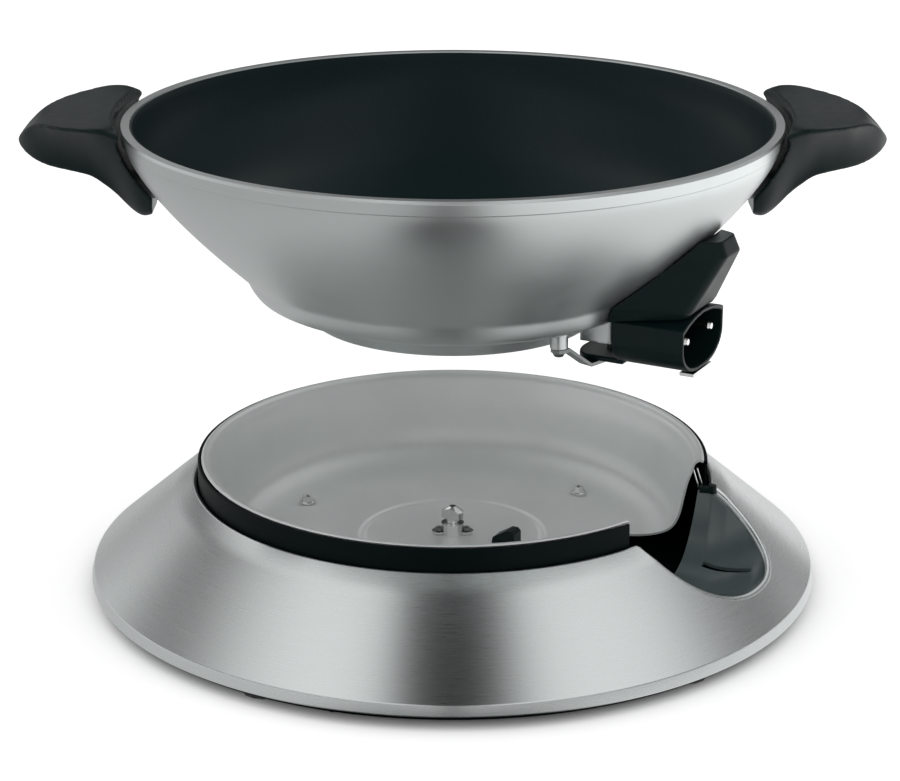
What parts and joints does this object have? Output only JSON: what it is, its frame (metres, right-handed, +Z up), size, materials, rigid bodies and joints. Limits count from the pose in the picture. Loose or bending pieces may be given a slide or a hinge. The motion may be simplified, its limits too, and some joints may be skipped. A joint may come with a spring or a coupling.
{
  "type": "electric wok",
  "caption": "Round cast wok bowl with two wing handles and a probe socket, lifted off a wide brushed skirt base with a heat reflector dish, a scooped probe bay and a turning quick release post.",
  "frame": {"origin": "centre of the base on the surface that its feet stand on", "axes": "+Z up along the axis of bowl and base, +X through the right handle, the probe bay 28 degrees from +X towards -Y"},
  "size_m": [0.489, 0.426, 0.2817],
  "materials": {
    "brushed_skirt": "brushed round the axis, polished at the cut edge of the bay",
    "cast_aluminium": "satin, finely turned",
    "nonstick_black": "semi-matt non-stick coating with fine speckle",
    "reflector_grey": "dull grey pressed sheet",
    "black_plastic": "fine matt moulding grain",
    "tray_black": "glossy moulded",
    "foot_rubber": "dull",
    "bright_steel": "bright nickel plated",
    "dark_steel": "dark oiled",
    "element_metal": "dull sheath"
  },
  "bodies": {
    "base": {"skirt_shell": "brushed_skirt", "heat_reflector": "reflector_grey", "inner_collar": "black_plastic", "probe_tray": "tray_black", "bottom_pan": "black_plastic", "post_bushing": "bright_steel", "locating_key": "black_plastic", "pan_screw_1": "dark_steel", "pan_screw_2": "dark_steel", "pan_screw_3": "dark_steel", "pan_screw_4": "dark_steel", "pan_screw_5": "dark_steel", "rubber_foot_1": "foot_rubber", "rubber_foot_2": "foot_rubber", "rubber_foot_3": "foot_rubber", "rubber_foot_4": "foot_rubber", "rubber_foot_5": "foot_rubber", "skirt_clip_1": "dark_steel", "skirt_clip_2": "dark_steel", "skirt_clip_3": "dark_steel", "skirt_clip_4": "dark_steel", "bushing_screw_1": "dark_steel", "bushing_screw_2": "dark_steel", "reflector_standoff_1": "dark_steel", "reflector_standoff_2": "dark_steel", "reflector_standoff_3": "dark_steel", "reflector_screw_1": "bright_steel", "reflector_screw_2": "bright_steel", "reflector_screw_3": "bright_steel"},
    "bowl": {"wok_bowl": "cast_aluminium", "nonstick_lining": "nonstick_black", "heating_element": "element_metal", "probe_socket": "black_plastic", "terminal_block": "black_plastic", "terminal_pin_a": "bright_steel", "terminal_pin_b": "bright_steel", "socket_lip": "bright_steel", "socket_strap": "dark_steel", "socket_screw_1": "dark_steel", "socket_screw_2": "dark_steel", "heat_guard": "black_plastic", "lock_plate": "bright_steel", "lock_plate_screw_1": "bright_steel", "lock_plate_screw_2": "bright_steel", "lock_plate_screw_3": "bright_steel", "handle_right": "black_plastic", "handle_left": "black_plastic", "handle_bracket_right": "cast_aluminium", "handle_bracket_left": "cast_aluminium", "handle_screw_right_1": "bright_steel", "handle_screw_right_2": "bright_steel", "handle_screw_left_1": "bright_steel", "handle_screw_left_2": "bright_steel"},
    "lock": {"lock_post": "bright_steel", "lock_lever": "black_plastic", "lock_nut": "dark_steel"}
  },
  "joints": [
    {"name": "bowl_lift", "type": "slide", "parent": "base", "child": "bowl", "axis": [0, 0, 1], "range_m": [-0.131, 0]},
    {"name": "lock_turn", "type": "hinge", "parent": "base", "child": "lock", "pos_m": [0, 0, 0], "axis": [0, 0, 1], "range_deg": [0, 90]}
  ]
}
